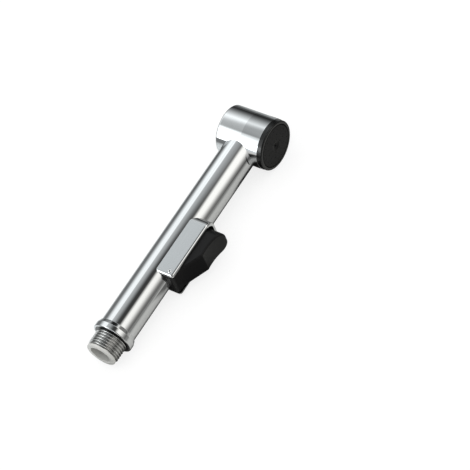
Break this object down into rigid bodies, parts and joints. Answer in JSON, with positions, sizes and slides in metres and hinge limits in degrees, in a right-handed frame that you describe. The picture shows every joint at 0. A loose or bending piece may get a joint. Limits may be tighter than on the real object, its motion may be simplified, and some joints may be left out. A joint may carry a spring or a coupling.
{
  "type": "handheld bidet shower",
  "caption": "Handheld bidet shower: chromed tubular handle with a threaded inlet, a sprung black trigger valve in a cradle, and a short side-spray head with a black nozzle.",
  "frame": {"origin": "on the handle's axis, at the first full crest of the hose thread, 0.7 mm in from the end of the metal and 2.2 mm in from the end of the white insert", "axes": "+X along the handle from the hose thread to the head, -Y the way the head sprays and the side that the trigger is on, +Z the side that faces up when the shower lies down"},
  "size_m": [0.1927, 0.0434, 0.0336],
  "materials": {
    "chrome_tube": "polished chrome plate on brass",
    "chrome_nipple": "polished chrome plate on turned brass",
    "chrome_head": "polished chrome plate on cast brass",
    "chrome_cradle": "satin-bright chrome plate",
    "steel_pin": "turned stainless steel",
    "steel_fasteners": "plain stainless steel",
    "black_screw": "blackened steel",
    "brass": "turned brass",
    "spring_steel": "drawn spring wire",
    "valve_plastic": "moulded acetal",
    "rubber": "nitrile rubber",
    "white_plastic": "moulded white plastic",
    "pipe_plastic": "extruded white plastic",
    "black_plastic": "satin black moulding",
    "spray_plastic": "satin black moulding",
    "trigger_plastic": "satin black moulding"
  },
  "bodies": {
    "shower_body": {"handle_tube": "chrome_tube", "inlet_nipple": "chrome_nipple", "head_shell": "chrome_head", "trigger_cradle": "chrome_cradle", "hinge_pin": "steel_pin", "cradle_screw": "steel_fasteners", "face_screw": "black_screw", "gland_nut": "brass", "return_spring": "spring_steel", "valve_body": "valve_plastic", "valve_plug": "brass", "plug_gasket": "rubber", "plunger_oring": "rubber", "insert_oring": "rubber", "valve_inlet_oring": "rubber", "valve_outlet_oring": "rubber", "head_oring": "rubber", "head_gasket": "rubber", "inlet_insert": "white_plastic", "lower_water_pipe": "pipe_plastic", "upper_water_pipe": "pipe_plastic", "nozzle_cap": "black_plastic", "spray_disc": "spray_plastic"},
    "trigger": {"trigger": "trigger_plastic"},
    "plunger": {"plunger": "brass", "valve_washer": "rubber"}
  },
  "joints": [
    {"name": "trigger_swing", "type": "hinge", "parent": "shower_body", "child": "trigger", "pos_m": [0.0615, -0.0135, 0], "axis": [0, 0, 1], "range_deg": [0, 6.5], "stiffness_Nm_per_rad": 1, "springref_deg": -5.73},
    {"name": "plunger_slide", "type": "slide", "parent": "shower_body", "child": "plunger", "axis": [0, 1, 0], "range_m": [0, 0.00205], "deforming": ["return_spring"]}
  ],
  "couplings": [
    {"joint": "plunger_slide", "follows": "trigger_swing", "m_per_rad": 0.018}
  ]
}
